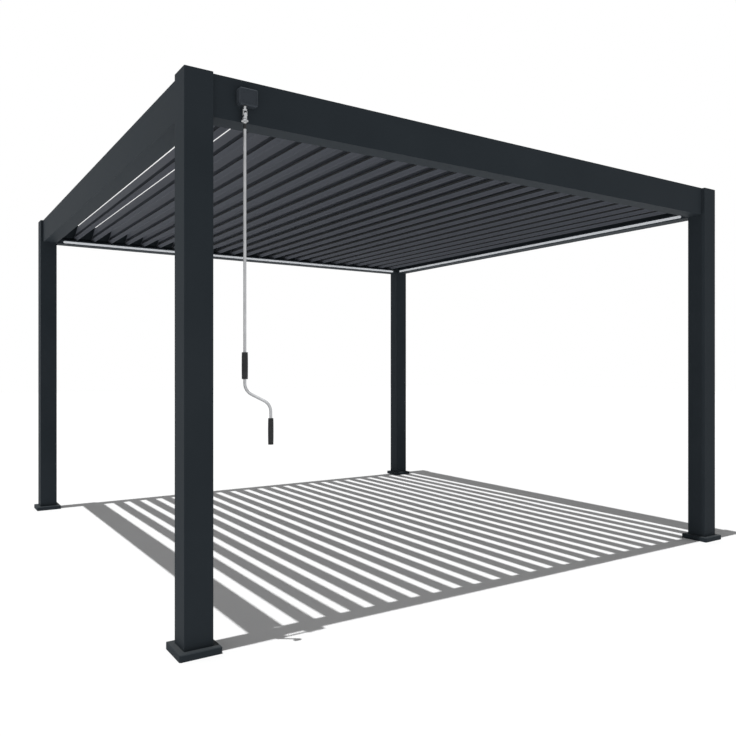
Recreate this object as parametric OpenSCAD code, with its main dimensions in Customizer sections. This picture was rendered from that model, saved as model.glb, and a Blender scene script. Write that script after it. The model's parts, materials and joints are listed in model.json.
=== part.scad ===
// Free-standing pergola with a roof of turning louvers, worked by a crank.
// X runs along the crank beam, Y runs back along the louvers, Z is up.
// The origin is the middle of the plan, on the floor. All sizes are in millimetres.

/* [Plan and height] */
// Depth over the posts, along the louvers
span_y = 3600; // [2600:50:4200]
// Height from the floor to the top of the posts
frame_h = 2315; // [2150:5:2700]

/* [Posts] */
// Side of a square post
post_w = 120; // [110:5:160]
// Wall of the post tube
post_wall = 3; // [2:0.5:5]
// Rounding of the post's long edges
post_round = 4; // [3:0.5:8]
// Thickness of the cap's plate
cap_t = 3; // [2:0.5:6]
// How far the cap's plug reaches into the tube
cap_plug = 20; // [10:1:40]

/* [Feet] */
// Side of the steel base plate
plate_w = 165; // [160:1:190]
// Thickness of the base plate
plate_t = 8; // [5:1:15]
// Radius of an anchor hole
anchor_r = 5.5; // [4:0.5:6]
// Distance between anchor holes
anchor_pitch = 142; // [141:1:145]
// Height of the foot cover
cover_h = 28; // [22:1:60]
// Wall of the foot cover
cover_wall = 3; // [1.5:0.5:5]
// Bevel around the top of the foot cover
cover_bevel = 3; // [1:0.5:5]
// Gap between the cover and the base plate
cover_gap = 2; // [1:0.5:5]

/* [Beams] */
// Depth of a beam's section, from its outer face to the courtyard
beam_w = 98; // [90:1:120]
// Height of a beam
beam_h = 174; // [165:1:220]
// Wall of a beam
beam_wall = 3; // [2:0.5:5]
// How far a beam's outer face stands back from the posts
beam_setback = 19; // [5:1:22]
// Height of the wall on the gutter's courtyard side
gutter_h = 34; // [28:1:40]
// Width of the turned-in lips
lip_w = 12; // [8:1:20]

/* [Light strips] */
// Height of a light strip
led_h = 16.5; // [10:0.5:18]
// How far a light strip stands off the gutter wall
led_t = 6; // [3:0.5:10]
// Height of a light strip above the beam's underside
led_z = 6; // [4:0.5:8]
// Distance from a post to the end of a light strip
led_end = 50; // [20:5:300]

/* [Louver row] */
// Distance from one pivot to the next
blade_pitch = 136; // [120:1:150]
// Room at each side of the closed roof
side_play = 48; // [45:1:60]
// Shift of the row of pivots from the middle
row_shift = 43; // [41:0.5:44]
// Drop from the top of the posts to the line of pivots
pivot_drop = 97; // [90:1:100]
// Turn of the louvers from closed, as they stand
open_turn = 100; // [0:1:120]

/* [Louver section] */
// Wall of a louver
blade_wall = 1.6; // [1.2:0.1:2.5]
// Distance from the pivot line to the soffit's near edge
soffit_near = 14.5; // [12:0.5:16]
// Drop from the pivot line to that edge
soffit_drop = 9.7; // [8:0.1:12]
// Rise of the soffit over its width
soffit_rise = 5; // [3:0.5:7]
// Width of the groove beside the soffit
groove_w = 11; // [9:0.5:12]
// Depth of that groove
groove_h = 12.1; // [10:0.1:13]
// Distance from the pivot line to the gutter's keel
keel_out = 23.9; // [22:0.1:26]
// Drop from the pivot line to the keel
keel_drop = 20.2; // [18:0.1:22]
// Distance from the pivot line to the gutter's rim
rim_out = 36.1; // [34:0.1:37]
// Height of the rim above the pivot line
rim_up = 2.3; // [0:0.1:3]
// Slope of the wing that covers the next gutter
wing_angle = 44; // [44:1:50]
// Width of the wing
wing_run = 26.5; // [24:0.5:28]
// Height of the top sheet at the wing, above the pivot line
deck_up = 6; // [5:0.5:8]
// Thickness of a louver's end cap
cap_end_t = 4; // [3:0.5:8]

/* [Pivots and link] */
// Radius of a pivot pin
pin_r = 5; // [4:0.5:6]
// Radius of the hub behind a pivot pin
hub_r = 12; // [9:0.5:13]
// Radial clearance of a pin in its hole
pin_clear = 0.05; // [0.02:0.01:0.1]
// Clear space between the pieces that move past each other
run_gap = 6; // [5:0.5:7]
// Distance from the beam's outer face to the link bar
bar_in = 15; // [14:0.5:17]
// Thickness of the link bar
bar_t = 5; // [4:0.5:6]
// Height of the link bar
bar_h = 16; // [14:1:17]
// Distance from a louver's pivot to its link pin
arm_r = 36; // [36:0.5:37]
// Thickness of a drive arm
arm_t = 6; // [5:0.5:8]
// Turn of the arm from level, when the roof is closed
arm_turn = 150; // [148:1:152]
// Radius of a link pin
link_r = 4; // [3:0.5:5]
// Thickness of the rail that carries the pivots
rail_t = 8; // [6:0.5:10]
// Height of the rail above the line of pivots
rail_up = 54; // [50:1:60]
// Depth of the rail below the line of pivots
rail_down = 18; // [14:1:20]
// Width of a bracket that holds the rail
bracket_w = 40; // [20:5:80]
// Thickness of a bracket
bracket_t = 4; // [3:0.5:6]

/* [Side flashings] */
// Thickness of the flashing sheet
flash_t = 2; // [1.5:0.5:3]
// Distance from a side beam's outer face to the upright sheet
flash_in = 60; // [50:1:70]
// Height of the flashing above the line of pivots
flash_up = 2; // [0:0.5:3]
// Clear space between a flashing and the louvers
flash_gap = 7; // [6:0.5:10]

/* [Corner brackets] */
// Thickness of a corner bracket
corner_t = 4; // [3:0.5:6]
// Length of a corner bracket's leg along the beam
corner_leg = 40; // [25:1:80]
// Height of a corner bracket
corner_h = 46; // [30:1:50]
// Gap between a bracket and the floor of the beam's gutter
corner_up = 5; // [1:1:8]

/* [Gearbox and crank] */
// Width of the gearbox
box_w = 84; // [80:1:100]
// Height of the gearbox
box_h = 72; // [68:1:80]
// Depth of the gearbox
box_d = 30; // [29:1:40]
// Rounding of the gearbox's corners
box_round = 12; // [8:1:16]
// Bevel around the front of the gearbox
box_bevel = 5; // [2:0.5:8]
// Distance from the louver shaft to the middle of the gearbox
box_shift = 12; // [9:0.5:15]
// Height of the gearbox's middle above the line of pivots
box_up = 23; // [20:1:26]
// Distance from the louver shaft to the crank's axis
crank_side = 26.5; // [25:0.5:32]
// Distance from the beam's face to the crank's axis
crank_out = 20; // [18:1:24]
// Radius of the crank's upper shaft
stub_r = 6; // [4:0.5:8]
// Radius of the joint's forks
fork_r = 10; // [9:0.5:12]
// Drop from the gearbox to the middle of the joint
joint_drop = 36; // [34:1:50]
// Widest radius of the socket below the joint
bell_r = 14.3; // [12:0.1:18]
// Radius of the crank rod
rod_r = 6.25; // [5:0.25:8]
// Height of the joint's middle above the crank's first corner
rod_len = 1129; // [900:1:1200]
// Sideways reach of the crank's handle
handle_reach = 106; // [80:1:110]
// Fall of the rod between its two corners
handle_fall = 53.5; // [30:0.5:70]
// Radius of the rod's bends
bend_r = 50; // [35:1:50]
// Turn of the handle out from the beam
handle_turn = 33; // [20:1:90]
// Length of the upper grip
grip_len = 110; // [80:1:140]
// Radius of the upper grip
grip_r = 13; // [9:0.5:14]
// Length of the handle's grip
knob_len = 108; // [80:1:140]
// Radius of the handle's grip
knob_r = 11.5; // [9:0.1:14]

/* [Hidden] */
n_louvers = 24;
LOUVERS = [for (i = [1 : n_louvers]) str("louver_", i < 10 ? "0" : "", i)];

seat = 0.3;
anthracite = "#32363b";
louver_grey = "#43464b";
zinc = "#b9bcc0";
black = "#26282a";

// Plan
open_x = n_louvers * blade_pitch + 2 * side_play;
span_x = open_x + 2 * post_w;
open_y = span_y - 2 * post_w;
post_x = (span_x - post_w) / 2;
post_y = (span_y - post_w) / 2;
beam_z = frame_h - beam_h;
pivot_z = frame_h - pivot_drop;
pivot_v = pivot_z - beam_z;
tube_h = frame_h - cap_t - plate_t;
cover_w = plate_w + 2 * (cover_gap + cover_wall);

// Distances in from the outer face of the front or rear beam
arm_in = bar_in + bar_t + run_gap - 1;
rail_in = arm_in + arm_t + run_gap;
blade_in = rail_in + rail_t + run_gap;
beam_face_y = span_y / 2 - beam_setback;
beam_face_x = span_x / 2 - beam_setback;
blade_len = 2 * (beam_face_y - blade_in);

// Corners of the closed louver, seen along Y with the pivot at the origin
soffit_w = blade_pitch - 66;
near_edge = [-soffit_near, -soffit_drop];
far_edge = near_edge + [-soffit_w, soffit_rise];
wing_tip = far_edge + wing_run * [-1, tan(wing_angle)];
groove = near_edge + [groove_w, groove_h];
keel = [keel_out, -keel_drop];
rim = [rim_out, rim_up];
deck_start = far_edge + (deck_up - far_edge[1]) * [-1 / tan(wing_angle), 1];

// Pivots along X
function pivot_x(i) = row_shift + (i - (n_louvers - 1) / 2) * blade_pitch;

// The link pin's place from its pivot, as the roof stands
link_turn = arm_turn - open_turn;
link_x = arm_r * cos(link_turn);
link_z = arm_r * sin(link_turn);

// Crank
box_x = pivot_x(0) - box_shift;
box_z = pivot_z + box_up;
crank_x = pivot_x(0) - crank_side;
crank_y = -beam_face_y - crank_out;
joint_z = box_z - box_h / 2 - joint_drop;
corner_z = joint_z - rod_len;
slant = atan(handle_fall / handle_reach);
bend_turn = 90 - slant;
bend_cut = bend_r * tan(bend_turn / 2);
bend_lap = 0.5;
shaft_bore = 22;

// Left side of a run of points, at distance t, with mitred corners
function unit(v) = v / norm(v);
function left(v) = [-v[1], v[0]];
function mitre(a, b, t) = t * (a + b) / (1 + a * b);
function side_normal(p, i) = left(unit(p[i + 1] - p[i]));
function offset_point(p, i, t) =
    i == 0 ? p[0] + t * side_normal(p, 0)
    : i == len(p) - 1 ? p[i] + t * side_normal(p, i - 1)
    : p[i] + mitre(side_normal(p, i - 1), side_normal(p, i), t);

// Sheet of even thickness that follows a run of points
module sheet(p, t) {
    back = [for (i = [len(p) - 1 : -1 : 0]) offset_point(p, i, t)];
    polygon(concat(p, back));
}

module rounded(w, h, r) {
    square([w - 2 * r, h], center = true);
    square([w, h - 2 * r], center = true);
    for (x = [-1, 1], y = [-1, 1])
        translate([x * (w / 2 - r), y * (h / 2 - r)]) circle(r, $fn = 48);
}

// Rounded block of height h whose top edges are bevelled by b
module bevelled(w, d, r, h, b) {
    intersection() {
        linear_extrude(h) rounded(w, d, r);
        rotate([90, 0, 0]) linear_extrude(2 * d, center = true) bevel_cut(w, h, b);
        along_x(2 * w) bevel_cut(d, h, b);
    }
}

// Outline with 45 degree sides that cut a block of width w
module bevel_cut(w, h, b) {
    top = w / 2 - b - 1;
    base = top + h + 2;
    polygon([[-base, -1], [base, -1], [top, h + 1], [-top, h + 1]]);
}

// Draws a section along X, with its first axis towards +Y
module along_x(length) {
    rotate([90, 0, 90]) linear_extrude(length, center = true) children();
}

// Draws a section along Y, from y to y + length
module along_y(y, length) {
    translate([0, y + length, 0]) rotate([90, 0, 0]) linear_extrude(length) children();
}

module at_posts() {
    for (x = [-1, 1], y = [-1, 1]) translate([x * post_x, y * post_y, 0]) children();
}

module post(x, y) {
    color(anthracite)
    translate([x * post_x, y * post_y, plate_t])
    linear_extrude(tube_h) difference() {
        rounded(post_w, post_w, post_round);
        square(post_w - 2 * post_wall, center = true);
    }
}

module post_caps() {
    plug_w = post_w - 2 * (post_wall + seat);
    color(anthracite) at_posts() {
        translate([0, 0, frame_h - cap_t]) linear_extrude(cap_t) rounded(post_w, post_w, post_round);
        translate([0, 0, frame_h - cap_t - cap_plug]) linear_extrude(cap_plug) difference() {
            square(plug_w, center = true);
            square(plug_w - 2 * cap_t, center = true);
        }
    }
}

module base_plates() {
    color(zinc) at_posts() difference() {
        linear_extrude(plate_t) rounded(plate_w, plate_w, 2 * post_round);
        for (x = [-1, 1], y = [-1, 1])
            translate([x, y, 0] * anchor_pitch / 2)
            translate([0, 0, -1]) cylinder(plate_t + 2, r = anchor_r, $fn = 48);
    }
}

module foot_covers() {
    inside = cover_w - 2 * cover_wall;
    sleeve = post_w + 2 * seat;
    color(anthracite) at_posts() difference() {
        bevelled(cover_w, cover_w, 2 * post_round, cover_h, cover_bevel);
        translate([0, 0, -1]) linear_extrude(cover_h - cover_wall + 1)
            rounded(inside, inside, post_round);
        linear_extrude(cover_h + 1) rounded(sleeve, sleeve, post_round);
    }
}

// Beam section from the outer face inwards: face, floor, gutter wall and lips
module beam_section() {
    polygon([
        [0, 0], [beam_w, 0], [beam_w, gutter_h], [beam_w - lip_w, gutter_h],
        [beam_w - lip_w, gutter_h - beam_wall], [beam_w - beam_wall, gutter_h - beam_wall],
        [beam_w - beam_wall, beam_wall], [beam_wall, beam_wall],
        [beam_wall, beam_h - beam_wall], [lip_w, beam_h - beam_wall], [lip_w, beam_h], [0, beam_h]
    ]);
}

// Places what is drawn for the front beam: the outer face at the origin, inwards along +Y
module on_front(turn) {
    face = turn % 180 == 0 ? beam_face_y : beam_face_x;
    rotate(turn) translate([0, -face, beam_z]) children();
}

module beam(turn, length) {
    color(anthracite) on_front(turn) along_x(length) beam_section();
}

module beam_front() {
    difference() {
        beam(0, open_x);
        translate([pivot_x(0), -beam_face_y - 1, pivot_z])
            rotate([-90, 0, 0]) cylinder(beam_wall + 2, r = pin_r + 2, $fn = 48);
    }
}

// Angle that ties a beam's end to its post
module corner_angle() {
    reach = rail_in - beam_wall - run_gap / 2;
    cube([corner_leg, corner_t, corner_h]);
    cube([corner_t, reach, corner_h]);
}

module corner_brackets() {
    lift = beam_wall + corner_up;
    color(zinc) for (turn = [0 : 90 : 270]) on_front(turn) {
        run = turn % 180 == 0 ? open_x : open_y;
        for (s = [0, 1]) mirror([s, 0, 0])
            translate([-run / 2, beam_wall, lift]) corner_angle();
    }
}

module light_strips() {
    color("white") for (turn = [0 : 90 : 270]) on_front(turn) {
        run = (turn % 180 == 0 ? open_x : open_y) - 2 * led_end;
        translate([0, beam_w + led_t, led_z + led_h / 2])
            rotate([90, 0, 0]) linear_extrude(led_t) {
                square([run - led_h, led_h], center = true);
                for (s = [-1, 1]) translate([s * (run - led_h) / 2, 0]) circle(led_h / 2, $fn = 48);
            }
    }
}

// Upright bar with a hole for each pivot, held by angles on the beam's face
module pivot_rail(turn) {
    side = turn == 0 ? 1 : -1;
    low = pivot_v - rail_down;
    high = pivot_v + rail_up;
    on_front(turn) difference() {
        union() {
            translate([-open_x / 2 + seat, rail_in, low]) cube([open_x - 2 * seat, rail_t, high - low]);
            for (i = [0 : 4]) translate([(i - 2) * open_x / 5 - bracket_w / 2, beam_wall, high]) {
                translate([0, 0, -bracket_t]) cube([bracket_w, rail_in - beam_wall, bracket_t]);
                translate([0, 0, -rail_up / 2]) cube([bracket_w, bracket_t, rail_up / 2]);
            }
        }
        for (i = [0 : n_louvers - 1]) translate([side * pivot_x(i), rail_in - 1, pivot_v])
            rotate([-90, 0, 0]) cylinder(rail_t + 2, r = pin_r + pin_clear, $fn = 48);
    }
}

module pivot_rails() {
    color(anthracite) {
        pivot_rail(0);
        pivot_rail(180);
    }
}

// Sheets that close the roof between the side beams and the louvers
module side_flashings() {
    top = pivot_v + flash_up;
    left_edge = beam_face_x + pivot_x(0) + wing_tip[0] + flash_gap;
    right_edge = beam_face_x - pivot_x(n_louvers - 1) - rim_out - flash_gap;
    color(anthracite) {
        on_front(-90) flashing(left_edge, top);
        on_front(90) flashing(right_edge, top);
    }
}

module flashing(edge, top) {
    along_x(open_y - 2 * seat) {
        translate([flash_in, beam_wall]) square([flash_t, top - beam_wall]);
        translate([flash_in, top - flash_t]) square([edge - flash_in, flash_t]);
    }
}

// One hollow louver, drawn closed about its pivot and then turned open
module louver(i) {
    color(louver_grey) translate([pivot_x(i), 0, pivot_z]) rotate([0, open_turn, 0]) {
        body_y = blade_len / 2 - cap_end_t;
        along_y(-body_y, 2 * body_y) louver_section();
        for (s = [-1, 1]) along_y(s > 0 ? body_y : -blade_len / 2, cap_end_t) end_outline();
        rear_pivot();
        front_pivot(i == 0);
    }
}

module louver_section() {
    sheet([wing_tip, far_edge, near_edge, groove, keel, rim], blade_wall);
    sheet([deck_start, groove], blade_wall);
}

module end_outline() {
    lift = [0, 2 * blade_wall];
    polygon([wing_tip, far_edge, near_edge, keel, rim, rim + lift, groove + 2 * lift, deck_start + lift]);
}

module rod_y(y, length, r) {
    translate([0, y, 0]) rotate([-90, 0, 0]) cylinder(length, r = r, $fn = 48);
}

module rear_pivot() {
    rod_y(blade_len / 2, run_gap / 2, hub_r);
    rod_y(blade_len / 2, run_gap + rail_t + run_gap / 2, pin_r);
}

// Pin through the rail, with the drive arm and link pin on its outer end
module front_pivot(driven) {
    face = -beam_face_y;
    end = driven ? face - shaft_bore + seat + 2 : face + arm_in;
    rod_y(-blade_len / 2 - run_gap / 2, run_gap / 2, hub_r);
    rod_y(end, -blade_len / 2 - end, pin_r);
    rotate([0, -arm_turn, 0]) {
        along_y(face + arm_in, arm_t) {
            circle(hub_r - 2, $fn = 48);
            translate([arm_r, 0]) circle(2 * link_r, $fn = 48);
            translate([0, -1.5 * link_r]) square([arm_r, 3 * link_r]);
        }
        translate([arm_r, 0, 0]) rod_y(face + bar_in - 2, arm_in - bar_in + 2, link_r);
    }
}

// Flat bar that joins all the drive arms
module link_bar() {
    run = pivot_x(n_louvers - 1) - pivot_x(0);
    color(zinc) translate([link_x, 0, pivot_z + link_z]) difference() {
        along_y(-beam_face_y + bar_in, bar_t) {
            translate([pivot_x(0), -bar_h / 2]) square([run, bar_h]);
            for (i = [0, n_louvers - 1]) translate([pivot_x(i), 0]) circle(bar_h / 2, $fn = 48);
        }
        for (i = [0 : n_louvers - 1]) translate([pivot_x(i), 0, 0])
            rod_y(-beam_face_y + bar_in - 1, bar_t + 2, link_r + pin_clear);
    }
}

module gearbox() {
    rim_w = 10;
    color(anthracite) difference() {
        translate([box_x, -beam_face_y, box_z]) rotate([90, 0, 0]) difference() {
            bevelled(box_w, box_h, box_round, box_d, box_bevel);
            translate([0, 0, box_d - 1]) linear_extrude(2)
                rounded(box_w - 2 * rim_w, box_h - 2 * rim_w, box_round - box_bevel);
        }
        translate([pivot_x(0), 0, pivot_z])
            rod_y(-beam_face_y - shaft_bore, shaft_bore + 1, pin_r + pin_clear);
        translate([crank_x, crank_y, box_z - box_h / 2 - 1])
            cylinder(shaft_bore + 1, r = stub_r + pin_clear, $fn = 48);
    }
}

// Two ears of a fork about the joint's middle, with the fork's disc at height z
module fork(z, disc_t) {
    ear = fork_r - 6;
    intersection() {
        cylinder(2 * abs(z) + 2 * disc_t, r = fork_r, center = true, $fn = 48);
        for (s = [-1, 1]) {
            translate([s * (fork_r - ear / 2) - ear / 2, -6, min(z, 0)]) cube([ear, 12, abs(z)]);
            translate([s * (fork_r - ear / 2) - ear / 2, 0, 0])
                rotate([0, 90, 0]) cylinder(ear, r = 6, $fn = 48);
        }
    }
    translate([0, 0, min(z, z + disc_t * sign(z))]) cylinder(disc_t, r = fork_r, $fn = 48);
}

// Shaft from the gearbox down to the joint's upper fork
module crank_shaft() {
    fork_z = 13;
    disc_t = 6;
    pin_hole = 3 + pin_clear;
    color(zinc) translate([crank_x, crank_y, joint_z]) difference() {
        union() {
            fork(fork_z, disc_t);
            translate([0, 0, fork_z + disc_t])
                cylinder(joint_drop + shaft_bore - seat - fork_z - disc_t, r = stub_r, $fn = 48);
        }
        rotate([0, 90, 0]) cylinder(4 * fork_r, r = pin_hole, center = true, $fn = 48);
    }
}

// Cross, lower fork and the socket that takes the rod
module crank_socket() {
    fork_z = -13;
    disc_t = 5;
    color(zinc) translate([crank_x, crank_y, joint_z]) {
        cube([2 * (fork_r - 4.3), 2 * (fork_r - 4), 7], center = true);
        rotate([0, 90, 0]) cylinder(2 * fork_r, r = 3, center = true, $fn = 48);
        rotate(90) fork(fork_z, disc_t);
        translate([0, 0, fork_z - disc_t]) rotate_extrude($fn = 64) polygon([
            [0, 0], [fork_r - 2, 0], [fork_r - 2, -2], [bell_r, -7], [bell_r, -10],
            [rod_r + 1, -14], [rod_r - 1, -20], [0, -20]
        ]);
    }
}

// Straight down, out along a slope between two bends, and down into the handle
module crank_rod() {
    top = -13 - 5 - 20 - 16;
    knob_z = -rod_len - handle_fall - bend_cut - knob_len - 18;
    slope_len = norm([handle_reach, handle_fall]) - 2 * bend_cut;
    color("#c5c8cc") translate([crank_x, crank_y, joint_z]) rotate(-handle_turn) {
        translate([0, 0, -rod_len + bend_cut - bend_lap])
            cylinder(rod_len - bend_cut + bend_lap + top, r = rod_r, $fn = 48);
        translate([bend_r, 0, -rod_len + bend_cut]) bend(180);
        translate([handle_reach / 2, 0, -rod_len - handle_fall / 2]) rotate([0, 90 + slant, 0])
            cylinder(slope_len + 2 * bend_lap, r = rod_r, center = true, $fn = 48);
        translate([handle_reach - bend_r, 0, -rod_len - handle_fall - bend_cut]) bend(0);
        translate([handle_reach, 0, knob_z])
            cylinder(-rod_len - handle_fall - bend_cut + bend_lap - knob_z, r = rod_r, $fn = 48);
    }
}

// Bend of the rod, its end on the side given by start
module bend(start) {
    rotate([90, 0, 0]) rotate(start) rotate_extrude(angle = bend_turn, $fn = 96)
        translate([bend_r, 0]) circle(rod_r - 0.05, $fn = 48);
}

// Black sleeve under the socket and the two grips
module crank_grips() {
    grip_top = -rod_len + bend_cut + 18 + grip_len;
    knob_top = -rod_len - handle_fall - bend_cut - 26;
    sleeve_top = -13 - 5 - 20;
    hole = rod_r + 0.1;
    color(black) translate([crank_x, crank_y, joint_z]) rotate(-handle_turn) {
        translate([0, 0, sleeve_top - 16]) cylinder(16, r = rod_r - 0.5, $fn = 48);
        translate([0, 0, grip_top - grip_len]) difference() {
            cylinder(grip_len, r = grip_r, $fn = 48);
            translate([0, 0, -1]) cylinder(grip_len + 2, r = hole, $fn = 48);
        }
        translate([handle_reach, 0, knob_top - knob_len]) difference() {
            cylinder(knob_len, r = knob_r, $fn = 48);
            translate([0, 0, 5]) cylinder(knob_len, r = hole, $fn = 48);
        }
    }
}

post(-1, -1);  // post_front_left
post(1, -1);  // post_front_right
post(-1, 1);  // post_rear_left
post(1, 1);  // post_rear_right
post_caps();
base_plates();
foot_covers();
beam_front();
beam(180, open_x);  // beam_rear
beam(-90, open_y);  // beam_left
beam(90, open_y);  // beam_right
corner_brackets();
light_strips();
pivot_rails();
side_flashings();
for (i = [0 : n_louvers - 1])
    louver(i);
link_bar();
gearbox();
crank_shaft();
crank_socket();
crank_rod();
crank_grips();
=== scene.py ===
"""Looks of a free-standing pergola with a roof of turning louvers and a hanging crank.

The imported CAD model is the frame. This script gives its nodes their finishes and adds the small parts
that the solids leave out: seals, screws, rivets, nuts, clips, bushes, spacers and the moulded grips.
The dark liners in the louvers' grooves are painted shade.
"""
import json
import math

import bmesh
import bpy
from mathutils import Matrix, Vector

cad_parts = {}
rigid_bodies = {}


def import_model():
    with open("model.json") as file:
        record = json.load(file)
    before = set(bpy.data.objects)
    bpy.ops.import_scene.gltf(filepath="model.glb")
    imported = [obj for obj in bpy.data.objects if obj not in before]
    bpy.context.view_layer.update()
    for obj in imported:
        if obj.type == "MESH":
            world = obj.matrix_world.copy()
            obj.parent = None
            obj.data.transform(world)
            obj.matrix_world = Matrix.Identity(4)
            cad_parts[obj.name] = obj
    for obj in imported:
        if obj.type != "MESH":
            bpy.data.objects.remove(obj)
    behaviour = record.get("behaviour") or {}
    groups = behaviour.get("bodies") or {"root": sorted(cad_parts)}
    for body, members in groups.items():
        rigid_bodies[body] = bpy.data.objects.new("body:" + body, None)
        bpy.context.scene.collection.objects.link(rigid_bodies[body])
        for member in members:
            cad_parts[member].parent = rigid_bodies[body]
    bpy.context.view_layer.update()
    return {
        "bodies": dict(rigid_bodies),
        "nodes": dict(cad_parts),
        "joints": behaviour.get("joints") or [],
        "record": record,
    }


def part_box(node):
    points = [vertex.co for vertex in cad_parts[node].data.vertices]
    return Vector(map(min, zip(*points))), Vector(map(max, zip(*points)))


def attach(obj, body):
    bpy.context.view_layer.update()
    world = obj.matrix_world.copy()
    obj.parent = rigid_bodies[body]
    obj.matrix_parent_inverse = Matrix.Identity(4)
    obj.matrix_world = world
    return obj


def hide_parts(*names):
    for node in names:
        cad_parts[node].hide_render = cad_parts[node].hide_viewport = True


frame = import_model()

MM = 0.001


# Shader maths

class Socket:
    """A node's output that can be used in Python expressions."""

    def __init__(self, paint, out):
        self.paint = paint
        self.out = out

    def maths(self, operation, *values):
        return self.paint.node("ShaderNodeMath", {"operation": operation}, dict(enumerate(values)))

    def __add__(self, other):
        return self.maths("ADD", self, other)

    def __radd__(self, other):
        return self.maths("ADD", other, self)

    def __sub__(self, other):
        return self.maths("SUBTRACT", self, other)

    def __rsub__(self, other):
        return self.maths("SUBTRACT", other, self)

    def __mul__(self, other):
        return self.maths("MULTIPLY", self, other)

    def __rmul__(self, other):
        return self.maths("MULTIPLY", other, self)


class Paint:
    """One material while its nodes are put together."""

    def __init__(self, name):
        self.material = bpy.data.materials.new(name)
        self.material.use_nodes = True
        self.tree = self.material.node_tree
        self.tree.nodes.clear()
        self.output = self.tree.nodes.new("ShaderNodeOutputMaterial")

    def node(self, kind, settings=None, inputs=None, out=0):
        """Adds a node: its settings first, then the values or links of its sockets."""
        new = self.tree.nodes.new(kind)
        for key, value in (settings or {}).items():
            if key == "stops":
                self.set_stops(new.color_ramp, value)
            else:
                setattr(new, key, value)
        for key, value in (inputs or {}).items():
            socket = new.inputs[key]
            if isinstance(value, Socket):
                self.tree.links.new(value.out, socket)
            else:
                socket.default_value = value
        return Socket(self, new.outputs[out])

    def set_stops(self, ramp, stops):
        while len(ramp.elements) < len(stops):
            ramp.elements.new(0.5)
        for element, (place, shade) in zip(ramp.elements, stops):
            element.position = place
            element.color = (shade, shade, shade, 1)

    def place(self):
        """Object coordinates, which are metres in the part's own frame."""
        return self.node("ShaderNodeTexCoord", out="Object")

    def stretched(self, scale):
        return self.node("ShaderNodeMapping", {}, {"Vector": self.place(), "Scale": scale})

    def noise(self, vector, scale, detail=2.0, rough=0.5):
        inputs = {"Vector": vector, "Scale": scale, "Detail": detail, "Roughness": rough}
        return self.node("ShaderNodeTexNoise", {}, inputs, out="Fac")

    def ramp(self, value, *stops):
        return self.node("ShaderNodeValToRGB", {"stops": stops}, {"Fac": value})

    def blend(self, mask, low, high):
        """Mixes two colours by a mask."""
        sockets = {0: mask, 6: low, 7: high}
        return self.node("ShaderNodeMix", {"data_type": "RGBA"}, sockets, out=2)

    def bump(self, height, distance, strength=1.0, under=None):
        inputs = {"Height": height, "Distance": distance, "Strength": strength}
        if under:
            inputs["Normal"] = under
        return self.node("ShaderNodeBump", {}, inputs)

    def surface(self, **inputs):
        """Ends the material in a Principled shader; underscores in names stand for spaces."""
        sockets = {key.replace("_", " "): value for key, value in inputs.items()}
        shader = self.node("ShaderNodeBsdfPrincipled", {}, sockets)
        self.tree.links.new(shader.out, self.output.inputs["Surface"])
        return self.material


def shade(red, green, blue):
    """A colour from its sRGB parts, 0 to 255."""
    def linear(part):
        part /= 255
        return part / 12.92 if part <= 0.04045 else ((part + 0.055) / 1.055) ** 2.4
    return (linear(red), linear(green), linear(blue), 1)


def powder_coat(name, dark, light, rough, along_y=False):
    """Baked powder: a fine orange peel, faint clouds of tone and a little dust on what faces up.

    A coat on an extrusion along Y also shows the faint draw lines under it.
    """
    paint = Paint(name)
    place = paint.place()
    cloud = paint.ramp(paint.noise(place, 2.3, 4), (0.35, 0.0), (0.7, 1.0))
    fleck = paint.ramp(paint.noise(place, 900, 2), (0.4, 0.0), (0.62, 1.0))
    tone = cloud * 0.7 + fleck * 0.3
    if along_y:
        drawn = paint.noise(paint.stretched((1, 0.003, 1)), 420, 2)
        tone = tone * 0.75 + drawn * 0.25
    colour = paint.blend(tone, dark, light)
    facing = paint.node("ShaderNodeNewGeometry", out="Normal")
    upward = paint.node("ShaderNodeSeparateXYZ", {}, {"Vector": facing}, out="Z")
    grime = paint.ramp(paint.noise(place, 7, 5, 0.6), (0.42, 0.0), (0.75, 1.0))
    dust = paint.ramp(upward, (0.6, 0.0), (0.98, 1.0)) * (0.04 + grime * 0.07)
    colour = paint.blend(dust, colour, shade(150, 146, 138))
    peel = paint.bump(paint.noise(place, 520, 2), 0.00004, 0.5)
    pebble = paint.bump(paint.noise(place, 1900, 1), 0.00002, 0.5, peel)
    return paint.surface(Base_Color=colour, Roughness=rough + cloud * 0.05 + fleck * 0.04 + dust * 0.5,
                         Normal=pebble, IOR=1.5, Specular_IOR_Level=0.05)


def zinc_plate(name, dark, light, rough, grain):
    """Zinc plate or brushed metal with its grain along one axis."""
    paint = Paint(name)
    drawn = paint.stretched(grain)
    lines = paint.noise(drawn, 60, 3, 0.6)
    bloom = paint.ramp(paint.noise(paint.place(), 18, 4), (0.35, 0.0), (0.7, 1.0))
    colour = paint.blend(bloom * 0.6 + lines * 0.4, dark, light)
    return paint.surface(Base_Color=colour, Metallic=0.85, Roughness=rough + lines * 0.12 + bloom * 0.06,
                         Normal=paint.bump(lines, 0.00002, 0.4))


def moulded_black(name):
    """Matt moulded plastic with a spark-eroded grain."""
    paint = Paint(name)
    place = paint.place()
    grain = paint.noise(place, 1500, 2)
    rub = paint.ramp(paint.noise(place, 45, 3), (0.4, 0.0), (0.7, 1.0))
    colour = paint.blend(rub, shade(44, 45, 46), shade(56, 57, 58))
    return paint.surface(Base_Color=colour, Roughness=0.55 - rub * 0.08,
                         Normal=paint.bump(grain, 0.00005, 0.5), Specular_IOR_Level=0.2)


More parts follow.
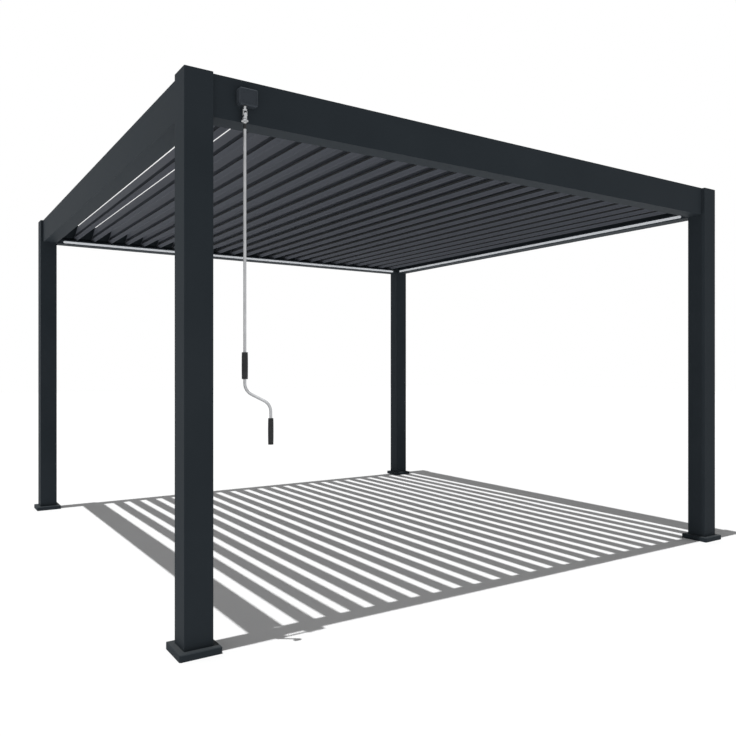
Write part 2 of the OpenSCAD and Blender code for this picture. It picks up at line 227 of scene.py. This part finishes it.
def seal_rubber(name, dark, light):
    """Extruded seal rubber, dull, with a bloom along its length."""
    paint = Paint(name)
    bloom = paint.ramp(paint.noise(paint.stretched((1, 0.05, 1)), 90, 3), (0.35, 0.0), (0.7, 1.0))
    colour = paint.blend(bloom, dark, light)
    return paint.surface(Base_Color=colour, Roughness=0.75 + bloom * 0.1,
                         Normal=paint.bump(bloom, 0.00003, 0.3), Specular_IOR_Level=0.1)


def opal(name):
    """Opal light cover: milky, with the faint flow lines of its extrusion, and a faint painted glow, as the
    strip is not lit.
    """
    paint = Paint(name)
    flow = paint.noise(paint.place(), 30, 2)
    colour = paint.blend(flow, shade(222, 226, 232), shade(236, 239, 243))
    # The emission is painted light: the unlit strip glows faintly.
    return paint.surface(Base_Color=colour, Roughness=0.38 + flow * 0.08,
                         Normal=paint.bump(flow, 0.00005, 0.2), Emission_Color=colour, Emission_Strength=0.2)


COAT = powder_coat("anthracite_powder_coat", shade(42, 48, 53), shade(48, 54, 59), 0.62)
CASE_COAT = powder_coat("gearbox_powder_coat", shade(59, 64, 70), shade(65, 70, 76), 0.62)
LOUVER_COAT = powder_coat("louver_powder_coat", shade(75, 78, 85), shade(81, 84, 91), 0.6, along_y=True)
ZINC = zinc_plate("zinc_plate", shade(172, 174, 176), shade(200, 202, 204), 0.34, (1, 1, 1))
ROD_METAL = zinc_plate("anodised_rod", shade(174, 175, 177), shade(194, 195, 197), 0.42, (1, 1, 0.04))
SCREW_STEEL = zinc_plate("blackened_screws", shade(58, 60, 63), shade(78, 80, 83), 0.38, (1, 1, 1))
GRIP = moulded_black("grip_plastic")
# Near-black rubber of the groove liners: painted shade, a dark sheet standing in for the shade deep in each
# louver's groove.
SHADE_RUBBER = seal_rubber("black_seal_rubber", shade(9, 11, 13), shade(15, 18, 21))
# Grey felt a little darker than the louver coat, on the groove's upper wall: painted shade in the groove.
SHADE_FELT = seal_rubber("groove_felt", shade(68, 72, 79), shade(76, 80, 87))
LIP_RUBBER = seal_rubber("grey_lip_rubber", shade(76, 79, 86), shade(82, 85, 92))
OPAL_PAINTED_GLOW = opal("opal_cover")

FINISHES = {
    "powder_coat": COAT,
    "louver_coat": LOUVER_COAT,
    "zinc_steel": ZINC,
    "crank_steel": ROD_METAL,
    "black_plastic": GRIP,
    "light_opal": OPAL_PAINTED_GLOW,
}


def dress_nodes():
    """Gives every CAD node the finish of its material slot."""
    for part in frame["record"]["subparts"]:
        node = frame["nodes"][part["node"]]
        node.data.materials.clear()
        finish = CASE_COAT if part["node"] == "gearbox" else FINISHES[part["material_slot"]]
        node.data.materials.append(finish)


# Shapes

SHARP = math.radians(32)
ROUND = 0
HEXAGON = 1


def hexagon(angle):
    """How far a hexagon's side is from its middle, as a share of its corner's distance."""
    return math.cos(math.pi / 6) / math.cos(angle % (math.pi / 3) - math.pi / 6)


def facing(point, direction):
    """Places a shape at a point in millimetres, with its own Z axis along a direction."""
    turn = Vector(direction).to_track_quat("Z", "Y").to_matrix().to_4x4()
    return Matrix.Translation(Vector(point) * MM) @ turn


class Shape:
    """A mesh being built. Sizes go in as millimetres, and its places are those of the frame."""

    def __init__(self):
        self.mesh = bmesh.new()

    def ring(self, place, radius, along, form, steps):
        if radius == 0:
            return [self.mesh.verts.new(place @ Vector((0, 0, along * MM)))]
        points = []
        for step in range(steps):
            angle = 2 * math.pi * step / steps
            reach = radius * MM * (hexagon(angle) if form == HEXAGON else 1)
            points.append((reach * math.cos(angle), reach * math.sin(angle), along * MM))
        return [self.mesh.verts.new(place @ Vector(point)) for point in points]

    def lathe(self, place, profile, steps=24, closed=False):
        """Turns a profile of (radius, distance along the axis, form) about the place's Z axis."""
        rings = [self.ring(place, row[0], row[1], row[2] if len(row) > 2 else ROUND, steps) for row in profile]
        pairs = list(zip(rings, rings[1:]))
        if closed:
            pairs.append((rings[-1], rings[0]))
        for low, high in pairs:
            self.join(low, high, steps)

    def join(self, low, high, steps):
        for step in range(steps):
            after = (step + 1) % steps
            corners = []
            for ring, order in ((low, (step, after)), (high, (after, step))):
                corners += [ring[0]] if len(ring) == 1 else [ring[k] for k in order]
            self.mesh.faces.new(corners)

    def prism(self, place, outline, low, high):
        """Draws an outline of (x, z) points along Y, from low to high."""
        ends = []
        for along in (low, high):
            ends.append([self.mesh.verts.new(place @ Vector((x * MM, along * MM, z * MM))) for x, z in outline])
        near, far = ends
        for here in range(len(outline)):
            after = (here + 1) % len(outline)
            self.mesh.faces.new((near[here], near[after], far[after], far[here]))
        self.mesh.faces.new(near)
        self.mesh.faces.new(far[::-1])

    def piece(self, name, finish, slot, body):
        """Makes the object, which rides on a body and takes the finish it is given; the slot is not used."""
        bmesh.ops.recalc_face_normals(self.mesh, faces=self.mesh.faces)
        data = bpy.data.meshes.new(name)
        self.mesh.to_mesh(data)
        self.mesh.free()
        for face in data.polygons:
            face.use_smooth = True
        data.set_sharp_from_angle(angle=SHARP)
        data.materials.append(finish)
        made = bpy.data.objects.new(name, data)
        bpy.context.collection.objects.link(made)
        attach(made, body)
        return made


def button_screw(shape, point, direction, radius, height):
    """Button head with a hexagon socket."""
    socket = 0.45 * radius
    shape.lathe(facing(point, direction), [
        (radius, 0), (radius, 0.25 * height), (0.86 * radius, 0.7 * height), (0.6 * radius, height),
        (socket, height, HEXAGON), (socket, 0.4 * height, HEXAGON), (0, 0.35 * height)])


def blind_rivet(shape, point, direction, radius, height):
    """Domed rivet with the broken mandrel in its middle."""
    shape.lathe(facing(point, direction), [
        (radius, 0), (0.92 * radius, 0.4 * height), (0.62 * radius, 0.85 * height), (0.34 * radius, height),
        (0.3 * radius, 0.7 * height), (0, 0.72 * height)])


def hexagon_nut(shape, point, direction, radius, height):
    """Nut on a washer, with the end of its stud."""
    shape.lathe(facing(point, direction), [
        (1.35 * radius, 0), (1.35 * radius, 2), (radius, 2, HEXAGON), (radius, height - 0.8, HEXAGON),
        (0.86 * radius, height), (0.52 * radius, height), (0.52 * radius, height + 2.5),
        (0.44 * radius, height + 3.3), (0, height + 3.3)])


def ring(shape, point, direction, inner, outer, height):
    """Flat ring with broken edges, such as a washer, a clip or a flange."""
    edge = min(0.3, height / 4)
    shape.lathe(facing(point, direction), [
        (inner, 0), (outer - edge, 0), (outer, edge), (outer, height - edge), (outer - edge, height),
        (inner, height)], closed=True)


# Sizes that the pieces share with the source, in millimetres

COVER = 175
COVER_H = 28
PLATE_T = 8
ANCHOR_PITCH = 142
BEAM_WALL = 3
BAR_IN = 15
RAIL_IN = 37
RAIL_T = 8
RUN_GAP = 6
PIN_R = 5
LINK_R = 4
ARM_R = 36
ARM_TURN = 150
RAIL_UP = 54
BRACKET_W = 40
BRACKET_T = 4
CORNER_T = 4
CORNER_LIFT = 8
GEARBOX_RECESS = 1

# A closed louver's corners about its pivot, seen along Y
NEAR_EDGE = Vector((-14.5, -9.7))
GROOVE = Vector((-3.5, 2.4))
KEEL = Vector((23.9, -20.2))
RIM = Vector((36.1, 2.3))
BLADE_WALL = 1.6

beam_low, beam_high = (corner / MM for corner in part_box("beam_front"))
FACE = -beam_low.y
BEAM_Z = beam_low.z
OPEN_X = beam_high.x - beam_low.x
OPEN_Y = 2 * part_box("beam_left")[1].y / MM
FACE_X = -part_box("beam_left")[0].x / MM
RAIL_FACE = FACE - RAIL_IN
BLADE_END = RAIL_FACE - RAIL_T - RUN_GAP

JOINTS = {joint["child"]: joint for joint in frame["joints"]}
LOUVERS = sorted(body for body in frame["bodies"] if body.startswith("louver_"))
OPEN_TURN = -JOINTS[LOUVERS[0]]["range_deg"][0]
PIVOTS = [Vector(JOINTS[louver]["pos_m"]) / MM for louver in LOUVERS]


def on_louver(index):
    """Places what is drawn for a closed louver about its pivot."""
    return Matrix.Translation(PIVOTS[index] * MM) @ Matrix.Rotation(math.radians(OPEN_TURN), 4, "Y")


# Louvers

FELT_T = 0.8
FELT_FROM = 0.04
SEAL_T = 1.2
SEAL_BEAD = 1.1
SEAL_TO = 1.03
LIP_REACH = 4.6
LIP_GRIP = 5
LIP_T = 1.1
STRIP_SHORT = 6
CAP_SCREWS = ((-64, 1.5), (-27, 0.5), (15, -7.5))
CAP_SCREW_SIZE = (3.4, 2)
SPACER_R = 8.5
SPACER_T = RUN_GAP - 2.2
REAR_CLIP_R = 8
LINK_CLIP_R = 6.6
CLIP_T = 1


def liner_outline(start, end, thick, bead):
    """Strip along a wall of the groove, on its open side, with a round bead on its end."""
    along = (end - start).normalized()
    out = Vector((along.y, -along.x))
    heading = math.atan2(along.y, along.x)
    centre = end - along * bead + out * bead
    turns = [math.radians(90 - 30 * step) + heading for step in range(7)]
    rounding = [centre + bead * Vector((math.cos(turn), math.sin(turn))) for turn in turns]
    return [start] + rounding + [start + out * thick]


def lip_outline():
    """Rubber lip that is pushed over the gutter's rim and reaches for the next louver's wing."""
    along = (RIM - KEEL).normalized()
    inward = Vector((-along.y, along.x))
    outer = BLADE_WALL + LIP_T
    nose = LIP_REACH - 0.5
    corners = ((-LIP_GRIP, -LIP_T), (1.2, -LIP_T), (nose, -0.5), (LIP_REACH, 0.1), (nose, 0.7), (1.2, outer),
               (-LIP_GRIP, outer), (-LIP_GRIP, BLADE_WALL), (0, BLADE_WALL), (0, 0), (-LIP_GRIP, 0))
    return [RIM + along * run + inward * rise for run, rise in corners]


def make_louver_pieces():
    """Liners of the groove, darker than the coat as painted shade, lip, end cap screws and pivot fittings of
    each louver.
    """
    # The grey felt on the groove's upper wall is painted shade too, a little darker than the coat.
    shade_felt = liner_outline(NEAR_EDGE.lerp(GROOVE, FELT_FROM), GROOVE, FELT_T, FELT_T / 2)
    # The black liner runs over the groove's whole lower wall to paint the groove's shade.
    shade_seal = liner_outline(GROOVE, GROOVE.lerp(KEEL, SEAL_TO), SEAL_T, SEAL_BEAD)
    half = BLADE_END - STRIP_SHORT
    rubbers = (("_groove_felt", shade_felt, SHADE_FELT), ("_seal", shade_seal, SHADE_RUBBER), ("_rim_lip", lip_outline(), LIP_RUBBER))
    for index, louver in enumerate(LOUVERS):
        place = on_louver(index)
        for ending, outline, finish in rubbers:
            rubber = Shape()
            rubber.prism(place, outline, -half, half)
            rubber.piece(louver + ending, finish, "black_plastic", louver)
        fixings = Shape()
        turned = place.to_3x3()
        for x, z in CAP_SCREWS:
            point = PIVOTS[index] + turned @ Vector((x, 0, z))
            for side in (-1, 1):
                end = (point.x, side * BLADE_END, point.z)
                button_screw(fixings, end, (0, side, 0), *CAP_SCREW_SIZE)
        fixings.piece(louver + "_cap_screws", SCREW_STEEL, "zinc_steel", louver)
        make_pivot_fittings(index, louver)


def make_pivot_fittings(index, louver):
    """Spacer behind the drive arm, and the clips on the rear pin and the link pin."""
    x, _, z = PIVOTS[index]
    spacer = Shape()
    ring(spacer, (x, -RAIL_FACE - 2, z), (0, -1, 0), PIN_R, SPACER_R, SPACER_T)
    spacer.piece(louver + "_spacer", GRIP, "black_plastic", louver)
    clips = Shape()
    ring(clips, (x, RAIL_FACE + 1.7, z), (0, 1, 0), PIN_R - 0.3, REAR_CLIP_R, CLIP_T)
    turn = math.radians(ARM_TURN - OPEN_TURN)
    link = (x + ARM_R * math.cos(turn), -FACE + BAR_IN - 0.4, z + ARM_R * math.sin(turn))
    ring(clips, link, (0, -1, 0), LINK_R - 0.3, LINK_CLIP_R, CLIP_T)
    clips.piece(louver + "_clips", ZINC, "zinc_steel", louver)


# Rails and brackets

BUSH_R = 9
BUSH_T = 1.4
BRACKETS = 5
RIVET_SIZE = (4.5, 1.8)
RAIL_SCREW_SIZE = (4, 2.4)
CORNER_SCREW_SIZE = (5, 2.8)
CORNER_LEVELS = (CORNER_LIFT + 12, CORNER_LIFT + 34)
BEAM_SCREW_IN = 26
POST_SCREW_IN = 14


def make_rail_pieces():
    """Bushes on both sides of each pivot, and the fixings of the brackets that carry the rails."""
    bushes = Shape()
    for pivot in PIVOTS:
        for side in (-1, 1):
            for face, outward in ((RAIL_FACE, side), (RAIL_FACE - RAIL_T, -side)):
                middle = (pivot.x, side * face, pivot.z)
                ring(bushes, middle, (0, outward, 0), PIN_R + 0.1, BUSH_R, BUSH_T)
    bushes.piece("pivot_bushes", GRIP, "black_plastic", "frame")
    fixings = Shape()
    top = PIVOTS[0].z + RAIL_UP
    for number in range(BRACKETS):
        middle = (number - (BRACKETS - 1) / 2) * OPEN_X / BRACKETS
        for side in (-1, 1):
            for offset in (-BRACKET_W / 4, BRACKET_W / 4):
                x = middle + offset
                wall = side * (FACE - BEAM_WALL - BRACKET_T)
                rail = side * (RAIL_FACE - RAIL_T / 2)
                blind_rivet(fixings, (x, wall, top - RAIL_UP / 3), (0, -side, 0), *RIVET_SIZE)
                button_screw(fixings, (x, rail, top), (0, 0, 1), *RAIL_SCREW_SIZE)
    fixings.piece("rail_fixings", ZINC, "zinc_steel", "frame")


def make_corner_screws():
    """Screws of the angles that tie the beams to the posts, two in each leg."""
    screws = Shape()
    wall = FACE - BEAM_WALL - CORNER_T
    wall_x = FACE_X - BEAM_WALL - CORNER_T
    end = OPEN_X / 2
    end_y = OPEN_Y / 2
    for level in CORNER_LEVELS:
        z = BEAM_Z + level
        for x in (-1, 1):
            for y in (-1, 1):
                for point, direction in (
                        ((x * (end - BEAM_SCREW_IN), y * wall, z), (0, -y, 0)),
                        ((x * (end - CORNER_T), y * (wall - POST_SCREW_IN), z), (-x, 0, 0)),
                        ((x * wall_x, y * (end_y - BEAM_SCREW_IN), z), (-x, 0, 0)),
                        ((x * (wall_x - POST_SCREW_IN), y * (end_y - CORNER_T), z), (0, -y, 0))):
                    button_screw(screws, point, direction, *CORNER_SCREW_SIZE)
    screws.piece("corner_screws", ZINC, "zinc_steel", "frame")


# Feet

NUT_SIZE = (7.5, 10)
COVER_SCREW_SIZE = (2.4, 1)


def post_centres():
    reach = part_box("post_front_right")
    x = (reach[0].x + reach[1].x) / 2 / MM
    y = -(reach[0].y + reach[1].y) / 2 / MM
    return [(sx * x, sy * y) for sx in (-1, 1) for sy in (-1, 1)]


def make_foot_pieces():
    """Nuts on the anchors, and a screw on the courtyard side of each foot cover."""
    nuts = Shape()
    grub = Shape()
    for x, y in post_centres():
        for sx in (-1, 1):
            for sy in (-1, 1):
                corner = (x + sx * ANCHOR_PITCH / 2, y + sy * ANCHOR_PITCH / 2, PLATE_T)
                hexagon_nut(nuts, corner, (0, 0, 1), *NUT_SIZE)
        inside = -1 if x > 0 else 1
        side = (x + inside * COVER / 2, y, COVER_H / 2)
        button_screw(grub, side, (inside, 0, 0), *COVER_SCREW_SIZE)
    nuts.piece("anchor_nuts", ZINC, "zinc_steel", "frame")
    grub.piece("foot_cover_screws", SCREW_STEEL, "zinc_steel", "frame")


# Gearbox and crank

CRANK = Vector(JOINTS["crank_handle"]["pos_m"]) / MM
ROD_R = 6.25
ROD_LEN = 1129
HANDLE_REACH = 106
HANDLE_FALL = 53.5
HANDLE_TURN = 33
BEND_R = 50
BEND_CUT = BEND_R * math.tan((math.pi / 2 - math.atan(HANDLE_FALL / HANDLE_REACH)) / 2)
GRIP_R = 13
GRIP_LEN = 110
GRIP_LIFT = 18
KNOB_R = 11.5
KNOB_LEN = 108
KNOB_DROP = 26
SLEEVE_TOP = -38
SLEEVE_LEN = 22.5
FORK_R = 10
CASE_SCREW_IN = 21
CASE_SCREW_SIZE = (2.6, 0.9)


def moulded_grip(radius, length, hole, closed_end):
    """Profile of a grip, from its lower end up: rounded ends, a collar line at each and a slight belly."""
    soft = 2.6
    rows = [(0, 0)] if closed_end else [(hole, 2), (hole, 0.6), (hole + 0.8, 0)]
    for step in range(5):
        turn = math.pi / 2 * step / 4
        rows.append((radius - 0.5 - soft + soft * math.sin(turn), soft - soft * math.cos(turn)))
    for line in (7, length - 7):
        rows += [(radius - 0.5, line - 0.7), (radius - 1.1, line - 0.3), (radius - 1.1, line + 0.3)]
        rows.append((radius - 0.5, line + 0.7))
        if line == 7:
            belly = 10
            for step in range(1, belly):
                share = step / belly
                swell = 0.45 * math.sin(math.pi * share)
                rows.append((radius - 0.5 + swell, 8 + (length - 16) * share))
    for step in range(5):
        turn = math.pi / 2 * step / 4
        rows.append((radius - 0.5 - soft + soft * math.cos(turn), length - soft + soft * math.sin(turn)))
    return rows + [(hole + 0.8, length), (hole, length - 0.6), (hole, length - 3)]


def make_grips():
    """Two moulded grips and the sleeve at the rod's top."""
    away = math.radians(-HANDLE_TURN)
    reach = Vector((math.cos(away), math.sin(away), 0)) * HANDLE_REACH
    upper = Shape()
    foot = CRANK + Vector((0, 0, -ROD_LEN + BEND_CUT + GRIP_LIFT))
    upper.lathe(facing(foot, (0, 0, 1)), moulded_grip(GRIP_R, GRIP_LEN, ROD_R, False), 48)
    upper = upper.piece("crank_upper_grip", GRIP, "black_plastic", "crank_handle")
    lower = Shape()
    fall = ROD_LEN + HANDLE_FALL + BEND_CUT + KNOB_DROP + KNOB_LEN
    foot = CRANK + reach + Vector((0, 0, -fall))
    lower.lathe(facing(foot, (0, 0, 1)), moulded_grip(KNOB_R, KNOB_LEN, ROD_R, True), 48)
    lower = lower.piece("crank_lower_grip", GRIP, "black_plastic", "crank_handle")
    sleeve = Shape()
    top = SLEEVE_TOP + 0.4
    sleeve.lathe(facing(CRANK, (0, 0, 1)), [
        (ROD_R - 1.2, top), (ROD_R - 0.4, top), (ROD_R + 0.4, top - 0.8), (ROD_R + 0.4, top - SLEEVE_LEN + 0.8),
        (ROD_R - 0.1, top - SLEEVE_LEN), (ROD_R - 1.2, top - SLEEVE_LEN)], 48, closed=True)
    sleeve = sleeve.piece("crank_sleeve", GRIP, "black_plastic", "crank_handle")
    for grip in (upper, lower, sleeve):
        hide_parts("crank_grips")


def make_joint_pins():
    """Riveted ends of the universal joint's cross."""
    pins = Shape()
    for direction in ((1, 0, 0), (-1, 0, 0), (0, 1, 0), (0, -1, 0)):
        end = CRANK + Vector(direction) * (FORK_R - 0.3)
        pins.lathe(facing(end, direction), [(2.7, 0), (2.7, 0.5), (1.9, 1), (0.8, 1.2), (0, 1.1)])
    pins.piece("joint_pin_ends", ZINC, "zinc_steel", "crank_handle")


def make_gearbox_pieces():
    """Screws of the gearbox's cover, and the bush that its shaft leaves by."""
    low, high = (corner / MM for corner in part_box("gearbox"))
    screws = Shape()
    for x in (low.x + CASE_SCREW_IN, high.x - CASE_SCREW_IN):
        for z in (low.z + CASE_SCREW_IN, high.z - CASE_SCREW_IN):
            button_screw(screws, (x, low.y + GEARBOX_RECESS, z), (0, -1, 0), *CASE_SCREW_SIZE)
    screws.piece("gearbox_screws", CASE_COAT, "powder_coat", "frame")
    bush = Shape()
    ring(bush, (CRANK.x, CRANK.y, low.z), (0, 0, -1), 6.2, 9, 2.5)
    bush.piece("gearbox_bush", GRIP, "black_plastic", "frame")


# Stage

FLOOR_SIZE = 60
SKY = 0.3
SUN = 2.9
SUN_SLANT = 0.14
SUN_WIDTH = 0.5
LENS = 34.95
EYE = (-2.71465, -4.52097, 1.13429)
YAW = 33.006


def make_floor():
    paint = Paint("pale_floor")
    place = paint.place()
    mottle = paint.noise(place, 3, 3)
    colour = paint.blend(mottle, (0.86, 0.86, 0.86, 1), (0.9, 0.9, 0.9, 1))
    paint.surface(Base_Color=colour, Roughness=0.9, Specular_IOR_Level=0.0)
    mesh = bpy.data.meshes.new("floor")
    half = FLOOR_SIZE / 2
    corners = [(-half, -half, 0), (half, -half, 0), (half, half, 0), (-half, half, 0)]
    mesh.from_pydata(corners, [], [(0, 1, 2, 3)])
    mesh.materials.append(paint.material)
    floor = bpy.data.objects.new("floor", mesh)
    bpy.context.collection.objects.link(floor)


def make_world():
    """An even sky, which the camera, metal and gloss see as plain white."""
    world = bpy.data.worlds.new("studio")
    world.use_nodes = True
    bpy.context.scene.world = world
    tree = world.node_tree
    tree.nodes.clear()
    output = tree.nodes.new("ShaderNodeOutputWorld")
    path = tree.nodes.new("ShaderNodeLightPath")
    sky = tree.nodes.new("ShaderNodeBackground")
    sky.inputs["Strength"].default_value = SKY
    white = tree.nodes.new("ShaderNodeBackground")
    white.inputs["Strength"].default_value = 1.0
    for background in (sky, white):
        background.inputs["Color"].default_value = (1, 1, 1, 1)
    seen = path.outputs["Is Camera Ray"]
    for ray in ("Is Glossy Ray", "Is Transmission Ray"):
        either = tree.nodes.new("ShaderNodeMath")
        either.operation = "MAXIMUM"
        tree.links.new(seen, either.inputs[0])
        tree.links.new(path.outputs[ray], either.inputs[1])
        seen = either.outputs[0]
    mix = tree.nodes.new("ShaderNodeMixShader")
    tree.links.new(seen, mix.inputs["Fac"])
    tree.links.new(sky.outputs[0], mix.inputs[1])
    tree.links.new(white.outputs[0], mix.inputs[2])
    tree.links.new(mix.outputs[0], output.inputs["Surface"])


def make_sun():
    light = bpy.data.lights.new("sun", "SUN")
    light.energy = SUN
    light.angle = math.radians(SUN_WIDTH)
    sun = bpy.data.objects.new("sun", light)
    sun.rotation_mode = "QUATERNION"
    sun.rotation_quaternion = Vector((SUN_SLANT, 0, -1)).to_track_quat("-Z", "Y")
    bpy.context.collection.objects.link(sun)


def make_camera():
    data = bpy.data.cameras.new("camera")
    data.sensor_width = 36
    data.lens = LENS
    camera = bpy.data.objects.new("camera", data)
    camera.location = EYE
    yaw = math.radians(YAW)
    forward = Vector((math.sin(yaw), math.cos(yaw), 0))
    camera.rotation_mode = "QUATERNION"
    camera.rotation_quaternion = forward.to_track_quat("-Z", "Y")
    bpy.context.collection.objects.link(camera)
    bpy.context.scene.camera = camera


make_camera()
make_world()
make_sun()
make_floor()
dress_nodes()
make_louver_pieces()
make_rail_pieces()
make_corner_screws()
make_foot_pieces()
make_grips()
make_joint_pins()
make_gearbox_pieces()

scene = bpy.context.scene
scene.view_settings.view_transform = "Standard"


def corners(box):
    return [list(corner) for corner in box]
